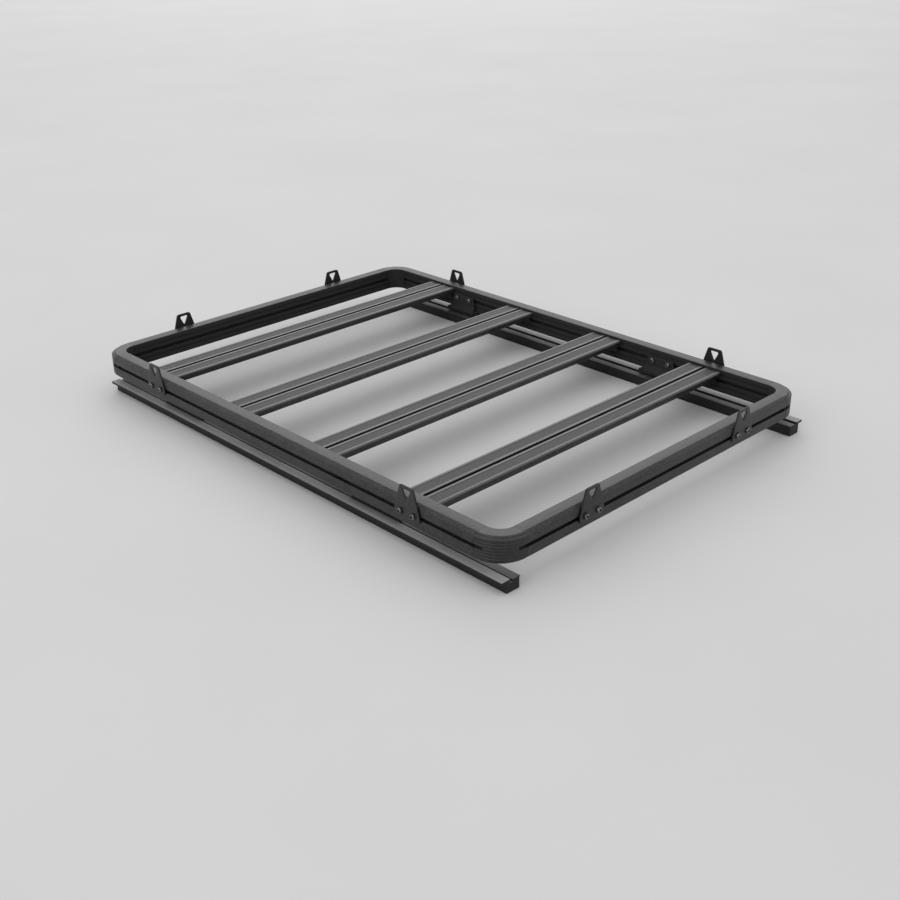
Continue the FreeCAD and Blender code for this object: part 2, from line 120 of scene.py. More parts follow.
class Socket:
    """A shader socket that joins in Python arithmetic, with one node for each operation."""

    def __init__(self, sheet: "Sheet", socket: bpy.types.NodeSocket) -> None:
        """Keep the socket and the sheet that it is on."""
        self.sheet = sheet
        self.socket = socket

    def _joined(self, operation: str, *values: Value) -> "Socket":
        """Node for one operation: Vector Math where this socket is a vector, or else Math."""
        kind = "ShaderNodeVectorMath" if self.socket.type == "VECTOR" else "ShaderNodeMath"
        return self.sheet.node(kind, {"operation": operation}, dict(enumerate(values)))

    def __add__(self, other: Value) -> "Socket":
        """Sum with another value."""
        return self._joined("ADD", self, other)

    def __sub__(self, other: Value) -> "Socket":
        """This value less another."""
        return self._joined("SUBTRACT", self, other)

    def __rsub__(self, other: Value) -> "Socket":
        """Another value less this one."""
        return self._joined("SUBTRACT", other, self)

    def __mul__(self, other: Value) -> "Socket":
        """Product with another value."""
        return self._joined("MULTIPLY", self, other)

    def __abs__(self) -> "Socket":
        """Value without its sign."""
        return self._joined("ABSOLUTE", self)

    __radd__ = __add__
    __rmul__ = __mul__

    def step(self, low: float, high: float) -> "Socket":
        """Smooth step of this value.

        Args:
            low: Value at which the step is 0.
            high: Value at which the step is 1.

        Returns:
            The step, from 0 to 1.
        """
        settings = {"interpolation_type": "SMOOTHSTEP"}
        inputs = {"Value": self, "From Min": low, "From Max": high}
        return self.sheet.node("ShaderNodeMapRange", settings, inputs)

    def spread(self, amount: float) -> "Socket":
        """Swing of a pattern from 0 to 1 about its middle, by so much in all."""
        return (self - 0.5) * amount

    def part(self, axis: int) -> "Socket":
        """One of the three numbers of a vector."""
        return self.sheet.node("ShaderNodeSeparateXYZ", None, {0: self}, axis)


class Sheet:
    """Node tree of one material."""

    def __init__(self, name: str) -> None:
        """Start an empty material.

        Args:
            name: Name of the material.
        """
        self.material = bpy.data.materials.new(name)
        self.material.use_nodes = True
        self.tree = self.material.node_tree
        self.tree.nodes.clear()

    def node(
        self,
        kind: str,
        settings: Optional[Mapping[str, Any]] = None,
        inputs: Optional[Mapping[Union[int, str], Value]] = None,
        output: Union[int, str] = 0,
    ) -> Socket:
        """Make any node.

        Args:
            kind: Blender's name of the node's type.
            settings: Properties of the node, which are set first.
            inputs: Values or sockets for its inputs, by name or number.
            output: The output that is returned, by name or number.

        Returns:
            The chosen output.
        """
        made = self.tree.nodes.new(kind)
        for key, value in (settings or {}).items():
            setattr(made, key, value)
        for key, value in (inputs or {}).items():
            if isinstance(value, Socket):
                self.tree.links.new(value.socket, made.inputs[key])
            else:
                made.inputs[key].default_value = value
        return Socket(self, made.outputs[output])

    def place(self) -> Socket:
        """Object coordinates, in metres."""
        return self.node("ShaderNodeTexCoord", output="Object")

    def facing(self) -> Socket:
        """Unit vector that the surface faces."""
        return self.node("ShaderNodeNewGeometry", output="Normal")

    def dot(self, first: Socket, second: Value) -> Socket:
        """Dot product of two vectors."""
        settings, inputs = {"operation": "DOT_PRODUCT"}, {0: first, 1: second}
        return self.node("ShaderNodeVectorMath", settings, inputs, "Value")

    def noise(self, place: Socket, per_metre: float, detail: float = SOFT) -> Socket:
        """Cloudy noise from 0 to 1, with so many clouds in a metre and so many finer layers."""
        inputs = {"Vector": place, "Scale": per_metre, "Detail": detail}
        return self.node("ShaderNodeTexNoise", None, inputs)

    def cells(self, place: Socket, per_metre: float) -> Socket:
        """Distance to the middle of the nearest of many scattered cells, about 0 to 1."""
        return self.node("ShaderNodeTexVoronoi", None, {"Vector": place, "Scale": per_metre})

    def mixed(self, share: Value, first: Value, second: Value) -> Socket:
        """Mix of two colours, with the share of the second."""
        # The node's colours are its inputs 6 and 7 and its output 2
        return self.node("ShaderNodeMix", {"data_type": "RGBA"}, {0: share, 6: first, 7: second}, 2)

    def bump(self, height: Socket, depth: float) -> Socket:
        """Surface direction over small unevenness, whose height of 1 is so many metres."""
        return self.node("ShaderNodeBump", None, {"Strength": 1.0, "Distance": depth, "Height": height})

    def surface(self, inputs: Mapping[str, Value]) -> bpy.types.Material:
        """Finish the material with one surface shader.

        Args:
            inputs: Values or sockets for the shader's inputs, by name.

        Returns:
            The material.
        """
        shader = self.node("ShaderNodeBsdfPrincipled", None, inputs)
        end = self.tree.nodes.new("ShaderNodeOutputMaterial")
        self.tree.links.new(shader.socket, end.inputs["Surface"])
        return self.material


def grey(level: float, blue: float = 1.0) -> tuple[float, float, float, float]:
    """Grey colour, with its blue part multiplied to cool it."""
    return (level, level, level * blue, 1.0)


# Finishes

@dataclass(frozen=True)
class Skin:
    """What the layers of a coat share: sheet, place, facing and the two patterns of the skin."""

    sheet: Sheet
    place: Socket
    facing: Socket
    pebble: Socket
    mottle: Socket

    @property
    def upward(self) -> Socket:
        """Upright part of the facing, 1 where the surface faces up."""
        return self.facing.part(2)


@dataclass(frozen=True)
class PowderCoat:
    """Satin black powder coat: a pebbled, grainy skin, cloudy and dusty, with painted shade darkening its
    inner faces.
    """

    name: str
    draw: Draw = Draw.CAST
    tone: float = 0.006
    pale_tone: float = 0.026
    inner_shade_tone: float = 0.005
    dust_tone: float = 0.16
    cool: float = 1.03
    pale_cool: float = 1.05
    roughness: float = 0.40
    inner_roughness: float = 0.35
    patch_roughness: float = 0.4
    pebble_roughness: float = 0.1
    pebbles: float = 420.0
    pebble_depth: float = 0.06 * MM
    grain: float = 230.0
    grain_depth: float = 0.8 * MM
    lines: float = 700.0
    line_depth: float = 0.03 * MM
    clouds: float = 22.0
    drifts: float = 3.5
    specks: float = 130.0
    patch_shares: Triple = (0.3, 0.15, 0.55)
    pale_patches: Span = (0.42, 0.58)
    speck_edge: Span = (0.03, 0.09)
    dusty_clouds: Span = (0.5, 0.7)
    dust_share: float = 0.35
    inner_range: Span = (0.15, 0.35)
    inner_shade_share: float = 0.9

    def relief(self, skin: Skin) -> Socket:
        """Height of the skin in metres: pebbles, coarser grain, and fine lines along the draw.

        Args:
            skin: What the layers share.

        Returns:
            The height.
        """
        streak = skin.sheet.noise(skin.place * self.draw.value, self.lines)
        skin_deep = skin.pebble * self.pebble_depth + skin.mottle * self.grain_depth
        return skin_deep + streak * self.line_depth

    def tint(self, skin: Skin, tone: Socket) -> Socket:
        """Colour after what a kind of coat adds, nothing on a plain coat."""
        return tone

    def wear(self, skin: Skin) -> Value:
        """Roughness added in places, none on a plain coat."""
        return 0.0

    def material(self) -> bpy.types.Material:
        """Coat as a material.

        A face is an inner one where it looks towards the rack's middle: there the dot product of
        its place and its direction is well below zero, and its colour is darkened as painted shade.
        The patches are shares of clouds, wide drifts and grain.

        Returns:
            The material.
        """
        sheet = Sheet(self.name)
        place = sheet.place()
        pebble, mottle = sheet.cells(place, self.pebbles), sheet.noise(place, self.grain, FINE)
        skin = Skin(sheet, place, sheet.facing(), pebble, mottle)
        cloud, drift = sheet.noise(place, self.clouds, FINE), sheet.noise(place, self.drifts)
        of_cloud, of_drift, of_grain = self.patch_shares
        patch = cloud * of_cloud + drift * of_drift + mottle * of_grain
        speck = 1 - sheet.cells(place, self.specks).step(*self.speck_edge)
        dark, pale = grey(self.tone, self.cool), grey(self.pale_tone, self.pale_cool)
        tone = sheet.mixed(patch.step(*self.pale_patches), dark, pale)
        dust = speck * cloud.step(*self.dusty_clouds) * self.dust_share
        tinted = self.tint(skin, sheet.mixed(dust, tone, grey(self.dust_tone)))
        # Painted shade: faces turned towards the rack's middle are mixed towards a darker tone, and made
        # rougher
        inner = (0 - sheet.dot(skin.facing, place)).step(*self.inner_range)
        colour = sheet.mixed(inner * self.inner_shade_share, tinted, grey(self.inner_shade_tone))
        uneven = patch.spread(self.patch_roughness) + pebble.spread(self.pebble_roughness)
        rough = uneven + self.roughness + inner * self.inner_roughness + self.wear(skin)
        normal = sheet.bump(self.relief(skin), 1.0)
        return sheet.surface({"Base Color": colour, "Roughness": rough, "Normal": normal})


@dataclass(frozen=True)
class FootCoat(PowderCoat):
    """Coat of a foot, with coarser pebbles and a more even tone."""

    tone: float = 0.008
    pale_tone: float = 0.016
    pebble_depth: float = 0.08 * MM


@dataclass(frozen=True)
class WasherCoat(PowderCoat):
    """Coat of a washer, blacker and duller than a rail's."""

    tone: float = 0.003
    pale_tone: float = 0.008
    roughness: float = 0.5


@dataclass(frozen=True)
class CastCoat(PowderCoat):
    """Coat of a corner casting, with a painted highlight on top and painted shade on its grooved side."""

    pebble_depth: float = 0.08 * MM
    side_shade_tone: float = 0.004
    side_shade_share: float = 0.4
    side_shade_range: Span = (0.2, 0.7)
    top_highlight_tone: float = 0.050
    top_highlight_cool: float = 1.04
    top_highlight_share: float = 0.6
    top_highlight_range: Span = (0.75, 0.98)

    def tint(self, skin: Skin, tone: Socket) -> Socket:
        """Colour with a painted highlight on the top and painted shade on the side.

        Args:
            skin: What the layers share.
            tone: Colour of the plain coat.

        Returns:
            The colour.
        """
        # Painted shade on the upright side, and a painted highlight on the upward-facing top
        side = (1 - skin.upward.step(*self.side_shade_range)) * self.side_shade_share
        top = skin.upward.step(*self.top_highlight_range) * self.top_highlight_share
        darker = skin.sheet.mixed(side, tone, grey(self.side_shade_tone))
        return skin.sheet.mixed(top, darker, grey(self.top_highlight_tone, self.top_highlight_cool))


@dataclass(frozen=True)
class PlateCoat(PowderCoat):
    """Coat of a flat plate, with painted shade on its cut edges, darker than its faces."""

    across: Triple = (1.0, 0.0, 0.0)
    edge_shade_tone: float = 0.003
    face_range: Span = (0.80, 0.97)

    def tint(self, skin: Skin, tone: Socket) -> Socket:
        """Colour with painted shade on the edges, where the surface turns away from the plate's thickness.
        """
        # Painted shade on the plate's cut edges
        edge = 1 - abs(skin.sheet.dot(skin.facing, self.across)).step(*self.face_range)
        return skin.sheet.mixed(edge, tone, grey(self.edge_shade_tone))


@dataclass(frozen=True)
class GripCoat(PowderCoat):
    """Coat of a cross rail: painted highlight on its raised strips, with grip ribs along the sunk panels.
    """

    draw: Draw = Draw.ALONG_X
    middle: float = 0.0
    panel_near: Span = (11.3 * MM, 12.3 * MM)
    panel_far: Span = (39.0 * MM, 40.0 * MM)
    upper_range: Span = (0.35, 0.8)
    rib_pitch: float = 1.6 * MM
    rib_depth: float = 0.12 * MM
    panel_roughness: float = 0.08
    strip_roughness: float = -0.08
    strip_highlight_tone: float = 0.075
    strip_highlight_shares: Span = (0.6, 0.5)
    strip_lines: float = 400.0

    def panel(self, skin: Skin) -> Socket:
        """Share of a place that is on a panel, between the panel's two edges.

        Args:
            skin: What the layers share.

        Returns:
            The share, 1 on a panel and 0 off it.
        """
        across = abs(skin.place.part(1) - self.middle)
        return across.step(*self.panel_near) * (1 - across.step(*self.panel_far))

    def upper(self, skin: Skin) -> Socket:
        """Share of a place that faces up, 0 from a little past a slope."""
        return skin.upward.step(*self.upper_range)

    def tint(self, skin: Skin, tone: Socket) -> Socket:
        """Colour with a painted highlight on the raised strips: an even part, and a part in streaks.

        Args:
            skin: What the layers share.
            tone: Colour of the plain coat.

        Returns:
            The colour.
        """
        # Painted highlight: upward faces off the sunk panels are mixed towards a paler tone
        strip = (1 - self.panel(skin)) * self.upper(skin)
        even, streaked = self.strip_highlight_shares
        streak = skin.sheet.noise(skin.place * self.draw.value, self.strip_lines)
        painted_light = strip * (even + streak * streaked)
        return skin.sheet.mixed(painted_light, tone, grey(self.strip_highlight_tone, self.cool))

    def relief(self, skin: Skin) -> Socket:
        """Height of the skin in metres: the plain coat's, plus a sine wave across each panel.

        Args:
            skin: What the layers share.

        Returns:
            The height.
        """
        turn = (skin.place.part(1) - self.middle) * (math.tau / self.rib_pitch)
        wave = skin.sheet.node("ShaderNodeMath", {"operation": "SINE"}, {0: turn})
        ribbed = self.panel(skin) * self.upper(skin)
        return super().relief(skin) + wave * ribbed * (self.rib_depth / 2)

    def wear(self, skin: Skin) -> Value:
        """Roughness added on the panels and taken off on the raised strips."""
        return self.panel(skin) * (self.panel_roughness - self.strip_roughness) + self.strip_roughness


@dataclass(frozen=True)
class Anodised:
    """Black anodised aluminium with painted light: sides left black as painted shade, and upper faces
    painted paler as lit, streaked with drawing lines.

    The painted light is strongest outside the rails, where the track lies open, and dimmed under them as
    painted shade.
    """

    name: str
    draw: Draw = Draw.ALONG_Y
    tone: float = 0.004
    lit_top_tone: float = 0.36
    cool: float = 1.04
    roughness: float = 0.66
    worn_roughness: float = -0.08
    line_roughness: float = 0.2
    cloud_roughness: float = 0.1
    lines: float = 900.0
    line_depth: float = 0.03 * MM
    clouds: float = 30.0
    upper_range: Span = (0.5, 0.95)
    lit_range: Span = (500.0 * MM, 508.0 * MM)
    under_rail_light_share: float = 0.35
    lit_top_shares: Triple = (0.55, 0.3, 0.3)

    def material(self) -> bpy.types.Material:
        """Finish as a material, with painted light on upper faces by an even share, a share of clouds and
        one of lines.

        Returns:
            The material.
        """
        sheet = Sheet(self.name)
        place = sheet.place()
        streak = sheet.noise(place * self.draw.value, self.lines, FINE)
        cloud = sheet.noise(place, self.clouds, FINE)
        # Painted light: upward faces are painted paler, while the sides stay black as painted shade
        upper = sheet.facing().part(2).step(*self.upper_range)
        # Painted shade under the side rails, with full painted light only outside them
        bare = abs(place.part(0)).step(*self.lit_range) * (1 - self.under_rail_light_share) + self.under_rail_light_share
        even, of_cloud, of_line = self.lit_top_shares
        painted_light = upper * bare * (even + cloud * of_cloud + streak * of_line)
        tone = sheet.mixed(painted_light, grey(self.tone, self.cool), grey(self.lit_top_tone, self.cool))
        uneven = streak.spread(self.line_roughness) + cloud.spread(self.cloud_roughness)
        rough = self.roughness + upper * self.worn_roughness + uneven
        normal = sheet.bump(streak, self.line_depth)
        return sheet.surface({"Base Color": tone, "Roughness": rough, "Normal": normal})


@dataclass(frozen=True)
class BlackZinc:
    """Black zinc plate on bolt heads: smooth and metallic, rubbed bright in places."""

    name: str
    tone: float = 0.09
    bare_tone: float = 0.28
    cool: float = 1.03
    roughness: float = 0.20
    cloud_roughness: float = 0.2
    metallic: float = 0.9
    clouds: float = 260.0
    scuffs: float = 1500.0
    scuff_depth: float = 0.02 * MM
    bare_shares: Span = (0.7, 0.3)
    bare_range: Span = (0.45, 0.65)

    def material(self) -> bpy.types.Material:
        """Finish as a material, bare where shares of clouds and scuffs add up to enough.

        Returns:
            The material.
        """
        sheet = Sheet(self.name)
        place = sheet.place()
        cloud = sheet.noise(place, self.clouds, FINE)
        scuff = sheet.noise(place, self.scuffs)
        of_cloud, of_scuff = self.bare_shares
        bare = (cloud * of_cloud + scuff * of_scuff).step(*self.bare_range)
        tone = sheet.mixed(bare, grey(self.tone, self.cool), grey(self.bare_tone))
        rough = self.roughness + cloud.spread(self.cloud_roughness)
        normal = sheet.bump(scuff, self.scuff_depth)
        inputs = {"Base Color": tone, "Roughness": rough, "Metallic": self.metallic, "Normal": normal}
        return sheet.surface(inputs)


@dataclass(frozen=True)
class PaleFloor:
    """Plain pale studio floor with a barely uneven tone."""

    name: str = "pale_floor"
    tone: float = 0.62
    pale_tone: float = 0.68
    clouds: float = 1.5
    roughness: float = 0.8

    def material(self) -> bpy.types.Material:
        """Floor as a material.

        Returns:
            The material.
        """
        sheet = Sheet(self.name)
        cloud = sheet.noise(sheet.place(), self.clouds, FINE)
        tone = sheet.mixed(cloud, grey(self.tone), grey(self.pale_tone))
        return sheet.surface({"Base Color": tone, "Roughness": self.roughness})


# Forms

@dataclass
class Form:
    """Points and faces of a shape that isn't yet a piece."""

    points: np.ndarray
    faces: list[list[int]]

    def placed(self, basis: np.ndarray, origin: np.ndarray) -> "Form":
        """Copy carried to a place: each point is the origin plus its numbers times the basis rows."""
        return Form(self.points @ basis + origin, self.faces)

    def piece(self, name: str, material: bpy.types.Material, slot: str) -> bpy.types.Object:
        """Make the form a piece of the rack.

        Args:
            name: Name of the piece.
            material: Its finish.
            slot: Material slot in the record, not used.

        Returns:
            The piece.
        """
        mesh = bpy.data.meshes.new(name)
        mesh.from_pydata(self.points.tolist(), [], self.faces)
        mesh.validate()
        mesh.shade_smooth()
        mesh.set_sharp_from_angle(angle=SHARP_EDGE)
        mesh.materials.append(material)
        piece = bpy.data.objects.new(name, mesh)
        bpy.context.scene.collection.objects.link(piece)
        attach(piece, BODY)
        log.info("%s: %d faces", name, len(mesh.polygons))
        return piece


def joined(forms: Sequence[Form]) -> Form:
    """Several forms as one, with the faces of each counted on from the last.

    Args:
        forms: The forms.

    Returns:
        The joined form.
    """
    starts = np.cumsum([0] + [len(form.points) for form in forms])
    counted = zip(forms, starts)
    faces = [[index + start for index in face] for form, start in counted for face in form.faces]
    return Form(np.vstack([form.points for form in forms]), faces)


def grid_form(grid: np.ndarray, closed: tuple[bool, bool], caps: bool = False) -> Form:
    """Surface over a grid of points: each face joins four neighbours.

    Args:
        grid: Points, rows by columns by three.
        closed: Whether the last row joins the first, and whether the last column does.
        caps: Whether the first and last rows are filled with one face each.

    Returns:
        The form.
    """
    rows, columns = grid.shape[:2]
    index = np.arange(rows * columns).reshape(rows, columns)
    looped = index
    if closed[0]:
        looped = np.vstack([looped, looped[:1]])
    if closed[1]:
        looped = np.hstack([looped, looped[:, :1]])
    corners = (looped[:-1, :-1], looped[:-1, 1:], looped[1:, 1:], looped[1:, :-1])
    faces = np.stack(corners, axis=-1).reshape(-1, 4).tolist()
    if caps:
        faces += [index[0, ::-1].tolist(), index[-1].tolist()]
    return Form(grid.reshape(-1, 3), faces)


def rounded_outline(corners: np.ndarray, radii: np.ndarray, steps: int = 9) -> np.ndarray:
    """Closed outline with round corners: each corner is an arc that touches its two sides.

    The arc's points turn evenly from the foot of one side to the foot of the other about a centre
    on the corner's bisector, one radius divided by the sine of half the corner's angle from it.

    Args:
        corners: Corners in order, one row each.
        radii: Radius of each corner.
        steps: Points on each arc.

    Returns:
        Points of the outline in order.
    """
    back = np.roll(corners, 1, axis=0) - corners
    ahead = np.roll(corners, -1, axis=0) - corners
    back /= np.linalg.norm(back, axis=1, keepdims=True)
    ahead /= np.linalg.norm(ahead, axis=1, keepdims=True)
    half = np.arccos(np.clip((back * ahead).sum(1), -1, 1)) / 2
    bisector = back + ahead
    bisector /= np.linalg.norm(bisector, axis=1, keepdims=True)
    centre = corners + bisector * (radii / np.sin(half))[:, None]
    trim = (radii / np.tan(half))[:, None]
    start = (corners + back * trim - centre)[:, None]
    end = (corners + ahead * trim - centre)[:, None]
    turn = (math.pi - 2 * half)[:, None, None]
    share = np.linspace(0, 1, steps)[None, :, None]
    arcs = (np.sin((1 - share) * turn) * start + np.sin(share * turn) * end) / np.sin(turn)
    return (arcs + centre[:, None]).reshape(-1, 2)


def evenly(outline: np.ndarray, count: int) -> np.ndarray:
    """Points at even distances along a closed outline, in its order.

    Args:
        outline: Points of the outline.
        count: Number of points wanted.

    Returns:
        The even points.
    """
    loop = np.vstack([outline, outline[:1]])
    length = np.concatenate([[0], np.cumsum(np.linalg.norm(np.diff(loop, axis=0), axis=1))])
    wanted = np.linspace(0, length[-1], count, endpoint=False)
    return np.stack([np.interp(wanted, length, loop[:, axis]) for axis in (0, 1)], axis=1)


def by_angle(outline: np.ndarray, centre: np.ndarray, angles: np.ndarray) -> np.ndarray:
    """Points where rays from a centre meet a closed outline that bulges all round it.

    The outline's points are read as a function of their angle about the centre, and each number
    of a point in between goes evenly from one to the next.

    Args:
        outline: Points of the outline.
        centre: Point inside it.
        angles: Angles of the rays, from -pi to pi.

    Returns:
        One point for each ray.
    """
    arm = outline - centre
    turn = np.arctan2(arm[:, 1], arm[:, 0])
    order = np.argsort(turn)
    points = [np.interp(angles, turn[order], arm[order, axis], period=math.tau) for axis in (0, 1)]
    return np.stack(points, axis=1) + centre


def ray_angles(centre: np.ndarray, outlines: Sequence[np.ndarray], count: int) -> np.ndarray:
    """Angles of even rays from a centre, and of a ray to each point of some outlines.

    Args:
        centre: Where the rays start.
        outlines: The outlines.
        count: Number of even rays.

    Returns:
        Angles in order, without doubles to a thousandth of a radian.
    """
    arms = np.vstack(outlines) - centre
    even = np.linspace(-math.pi, math.pi, count, endpoint=False)
    return np.unique(np.round(np.concatenate([even, np.arctan2(arms[:, 1], arms[:, 0])]), 3))


def inward(outline: np.ndarray) -> np.ndarray:
    """Unit vectors square to a closed outline that runs anticlockwise, towards its inside.

    Each is the line from the point before to the point after, turned a quarter anticlockwise.

    Args:
        outline: Points of the outline.

    Returns:
        One vector for each point.
    """
    run = np.roll(outline, -1, axis=0) - np.roll(outline, 1, axis=0)
    run /= np.linalg.norm(run, axis=1, keepdims=True)
    return np.stack([-run[:, 1], run[:, 0]], axis=1)


def bar(section: np.ndarray, half: Union[float, np.ndarray], edge: float) -> Form:
    """Section carried along a straight path, with its ends' edges bevelled.

    Row by row, a point at distance d along the path keeps its place in the section, and the two
    end rows are drawn in by the bevel.

    Args:
        section: Points (outwards, up), anticlockwise.
        half: Half of the length, one for all points or one for each.
        edge: Width of the bevel.

    Returns:
        Points (outwards, along, up) about the path's middle.
    """
    reach = np.broadcast_to(half, len(section))
    drawn_in = section + inward(section) * edge
    flat = np.stack([drawn_in, section, section, drawn_in])
    along = np.stack([-reach, edge - reach, reach - edge, reach])
    grid = np.stack([flat[:, :, 0], along, flat[:, :, 1]], axis=-1)
    return grid_form(grid[:, ::-1], (False, True), caps=True)


def turned(radius: np.ndarray, height: np.ndarray, caps: bool) -> Form:
    """Turned shape about Z: row i at angle t is (radius cos t, radius sin t, height).

    Args:
        radius: Radius of each row at each angle, rows by angles.
        height: Height of each row.
        caps: Whether the first and last rows are filled, or else joined to each other.

    Returns:
        The form.
    """
    angle = np.linspace(0, math.tau, radius.shape[1], endpoint=False)
    level = np.broadcast_to(height[:, None], radius.shape)
    grid = np.stack([radius * np.cos(angle), radius * np.sin(angle), level], axis=-1)
    return grid_form(grid, (not caps, True), caps)


def hexagon(across_flats: float, count: int) -> np.ndarray:
    """Radius of a hexagon at even angles: half its width over the cosine of the angle from a flat.

    Args:
        across_flats: Width of the hexagon.
        count: Number of angles.

    Returns:
        The radius at each angle.
    """
    angle = np.linspace(0, math.tau, count, endpoint=False)
    from_flat = np.mod(angle, math.tau / 6) - math.tau / 12
    return across_flats / 2 / np.cos(from_flat)


# Fasteners

@dataclass(frozen=True)
class Bolt:
    """Button-headed bolt on a washer, standing on the plane z = 0 with its shank below.

    The washer's rounding is a share of its height, and the head's rows are shares of its radius,
    its height or the socket's width.
    """

    head_radius: float
    head_height: float
    key_width: float
    washer_radius: float
    washer_height: float
    shank_radius: float
    shank_length: float
    washer_round: float = 0.25
    foot_radius: float = 0.97
    foot_height: float = 0.06
    rim_height: float = 0.22
    flat_width: float = 1.12
    mouth_width: float = 1.04
    mouth_height: float = 0.95
    floor_height: float = 0.45
    floor_dip: float = 0.9
    dip_width: float = 0.3
    tip_radius: float = 0.85
    tip_from: float = 0.94
    dome_rows: int = 9
    around: int = 36

    def washer(self) -> Form:
        """Flat ring with rounded edges: a small round-cornered section turned about the axis.

        Returns:
            The washer.
        """
        low, high, top = self.shank_radius, self.washer_radius, self.washer_height
        corners = np.array([(low, 0), (high, 0), (high, top), (low, top)])
        section = rounded_outline(corners, np.full(4, self.washer_round * top), steps=4)
        radius = np.repeat(section[:, :1], self.around, axis=1)
        return turned(radius, section[:, 1], caps=False)

    def button(self) -> Form:
        """Low dome with a hexagon socket.

        The dome is a quarter ellipse from the rim up to the top flat. From there the rows are
        hexagons that go down the socket's wall and close over its floor.

        Returns:
            The head, on the plane z = 0.
        """
        radius, top = self.head_radius, self.head_height
        rim, floor = self.rim_height * top, self.floor_height * top
        socket = hexagon(self.key_width, self.around)
        flat = self.flat_width * socket.max()
        lift = np.linspace(0, QUARTER, self.dome_rows)[1:]
        round_radius = [self.foot_radius * radius, radius, *(flat + (radius - flat) * np.cos(lift))]
        round_height = [0.0, self.foot_height * top, *(rim + (top - rim) * np.sin(lift))]
        rows = np.array(round_radius)[:, None] * np.ones(self.around)
        walls = [socket * self.mouth_width, socket, socket, socket * self.dip_width]
        wall_height = [top, self.mouth_height * top, floor, self.floor_dip * floor]
        return turned(np.vstack([rows, walls]), np.array(round_height + wall_height), caps=True)

    def shank(self) -> Form:
        """Plain round shank from the plane z = 0 down into the slot, with a bevelled tip.

        Returns:
            The shank.
        """
        height = np.array([-1.0, -self.tip_from, 0.0]) * self.shank_length
        radius = np.array([self.tip_radius, 1.0, 1.0]) * self.shank_radius
        return turned(np.repeat(radius[:, None], self.around, axis=1), height, caps=True)

    def at(self, place: np.ndarray, axis: np.ndarray, twist: float) -> tuple[Form, Form]:
        """Bolt whose head stands out along an axis.

        Args:
            place: Point on the clamped face.
            axis: Unit vector away from the face.
            twist: Turn of the hexagon about the axis, in radians.

        Returns:
            The head, and the washer with the shank.
        """
        first = Side.FRONT.outward if abs(axis @ UP) > 0.5 else UP
        second = np.cross(axis, first)
        turn = np.array([[math.cos(twist), math.sin(twist)], [-math.sin(twist), math.cos(twist)]])
        basis = np.vstack([turn @ np.vstack([first, second]), axis])
        head = self.button().placed(basis, place + axis * self.washer_height)
        return head, joined([self.washer(), self.shank()]).placed(basis, place)


M8_BUTTON = Bolt(
    head_radius=7.0 * MM, head_height=4.4 * MM, key_width=5.0 * MM, washer_radius=8.0 * MM,
    washer_height=1.4 * MM, shank_radius=4.0 * MM, shank_length=14.0 * MM,
)
M6_BUTTON = Bolt(
    head_radius=5.3 * MM, head_height=3.3 * MM, key_width=4.0 * MM, washer_radius=6.0 * MM,
    washer_height=1.2 * MM, shank_radius=3.0 * MM, shank_length=9.0 * MM,
)


def bolt_pieces(name: str, bolts: Sequence[tuple[Form, Form]]) -> None:
    """Make one piece of all heads of a kind, and one of their black washers.

    Args:
        name: Name of the kind.
        bolts: The bolts, each a head and its washer.
    """
    heads, washers = zip(*bolts)
    joined(heads).piece(f"{name}_bolt_heads", BlackZinc(f"{name}_bolt_zinc").material(), "bolt")
    joined(washers).piece(f"{name}_washers", WasherCoat(f"{name}_washer_black").material(), "bolt")


def bolt_pair(seat: np.ndarray, along: np.ndarray, axis: np.ndarray, seed: int) -> list[tuple[Form, Form]]:
    """Two M8 bolts on either side of a seat, with uneven turns that are the same on each run.

    Args:
        seat: Point midway between them on the clamped face.
        along: Half the way from the first to the second.
        axis: Unit vector away from the face.
        seed: Seed of the turns.

    Returns:
        The two bolts.
    """
    twists = np.random.default_rng(seed).uniform(0, math.tau / 6, 2)
    return [M8_BUTTON.at(seat + along * hand, axis, twist) for hand, twist in zip((-1, 1), twists)]


# Places read from the frame

def inner_slot_level() -> float:
    """Height of the side rails' inner slots, the middle of an opening in the record."""
    openings = {opening["name"]: opening for opening in frame["record"]["physics"]["openings"]}
    return np.array(openings["right_inner_slot"]["box_m"], float).mean(axis=0)[2]


def node_box(name: str) -> tuple[np.ndarray, np.ndarray]:
    """Lowest and highest corner of a node as arrays."""
    low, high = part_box(name)
    return np.array(low), np.array(high)


def inner_face(side: Side) -> float:
    """Distance from the rack's middle to the inner face of a side's rail."""
    low, high = node_box(side.rail)
    return min(low @ side.outward, high @ side.outward)


def dress(name: str, material: bpy.types.Material) -> None:
    """Give a node of the frame its finish.

    Args:
        name: Name of the node.
        material: The finish.
    """
    mesh = frame["nodes"][name].data
    mesh.materials.clear()
    mesh.materials.append(material)
    log.info("%s: %s", name, material.name)


# Sub-assemblies

@dataclass(frozen=True)
class RailProfile:
    """Outer sizes of the rails, which the corners and the tie-downs follow.

    Drops are below the top, and flats are from the inner face.
    """

    width: float = 38.5 * MM
    top_flat: float = 28.5 * MM
    slope_drop: float = 6.0 * MM
    side_drop: float = 54.0 * MM
    bottom_flat: float = 32.0 * MM
    edge_radius: float = 1.5 * MM
    crest_radius: float = 3.0 * MM
    corner_radius: float = 36.0 * MM
    slot_drop: float = 28.0 * MM
    slot_opening: float = 8.5 * MM


